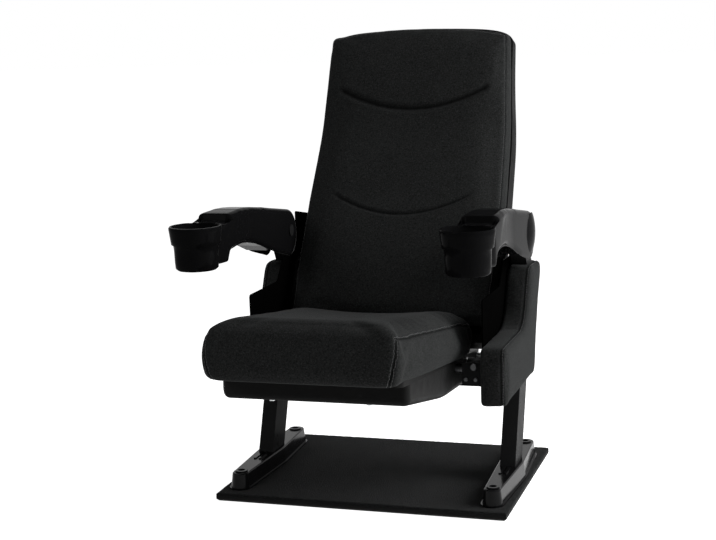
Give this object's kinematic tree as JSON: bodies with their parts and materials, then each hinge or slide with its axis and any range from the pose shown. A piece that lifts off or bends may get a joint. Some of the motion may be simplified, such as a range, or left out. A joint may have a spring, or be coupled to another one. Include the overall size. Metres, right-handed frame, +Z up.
{
  "type": "cinema recliner seat",
  "caption": "Upholstered cinema seat on a carpeted floor board: the back reclines and draws the seat forward, and the hollow armrests with cup holders lift",
  "frame": {"origin": "centre of the floor board's underside", "axes": "+X towards the viewer's right as one faces the seat, +Y to the rear, +Z up; the seat faces -Y"},
  "size_m": [0.6678, 0.9942, 1.0012],
  "materials": {
    "carpet": "short dark pile",
    "board_wood": "bare plywood",
    "upholstery": "charcoal woven cloth",
    "gloss_black": "polished black moulding",
    "satin_black": "satin black moulding",
    "painted_steel": "black semi-gloss powder coat",
    "bright_steel": "zinc plated",
    "rubber_black": "matt",
    "nylon": "natural"
  },
  "bodies": {
    "stand": {"floor_board": "board_wood", "floor_carpet": "carpet", "left_foot_plate": "painted_steel", "right_foot_plate": "painted_steel", "left_foot_cover": "gloss_black", "right_foot_cover": "gloss_black", "left_post": "painted_steel", "right_post": "painted_steel", "left_panel_core": "board_wood", "right_panel_core": "board_wood", "left_panel_cover": "upholstery", "right_panel_cover": "upholstery", "left_arm_bracket": "painted_steel", "right_arm_bracket": "painted_steel", "left_arm_stop": "rubber_black", "right_arm_stop": "rubber_black", "left_guide_channel": "painted_steel", "right_guide_channel": "painted_steel", "cross_beam": "painted_steel", "anchor_bolts": "bright_steel", "anchor_caps": "gloss_black", "arm_bushes": "nylon", "recline_pins": "bright_steel", "guide_bolts": "bright_steel", "guide_buffers": "rubber_black"},
    "back": {"back_pad": "upholstery", "back_board": "board_wood", "back_shell": "satin_black", "back_uprights": "painted_steel", "back_bars": "painted_steel", "shell_screws": "bright_steel", "left_recline_plate": "painted_steel", "right_recline_plate": "painted_steel", "recline_bushes": "rubber_black"},
    "seat": {"seat_cushion": "upholstery", "seat_board": "board_wood", "seat_pan": "satin_black", "seat_rails": "painted_steel", "seat_bars": "painted_steel", "drive_bar": "bright_steel", "pan_screws": "bright_steel", "glide_shoes": "nylon", "shoe_bolts": "bright_steel"},
    "left_arm": {"left_arm": "gloss_black", "left_arm_pin": "bright_steel", "left_pivot_cap": "gloss_black"},
    "right_arm": {"right_arm": "gloss_black", "right_arm_pin": "bright_steel", "right_pivot_cap": "gloss_black"}
  },
  "joints": [
    {"name": "back_recline", "type": "hinge", "parent": "stand", "child": "back", "pos_m": [0, 0.125, 0.395], "axis": [-1, 0, 0], "range_deg": [0, 12], "stiffness_Nm_per_rad": 70, "springref_deg": -20.05},
    {"name": "seat_glide", "type": "slide", "parent": "stand", "child": "seat", "axis": [0, -0.9938, 0.1115], "range_m": [0, 0.0285]},
    {"name": "left_arm_lift", "type": "hinge", "parent": "stand", "child": "left_arm", "pos_m": [-0.281, 0.095, 0.547], "axis": [-1, 0, 0], "range_deg": [0, 75]},
    {"name": "right_arm_lift", "type": "hinge", "parent": "stand", "child": "right_arm", "pos_m": [0.281, 0.095, 0.547], "axis": [-1, 0, 0], "range_deg": [0, 75]}
  ],
  "couplings": [
    {"joint": "seat_glide", "follows": "back_recline", "m_per_rad": 0.1349}
  ]
}
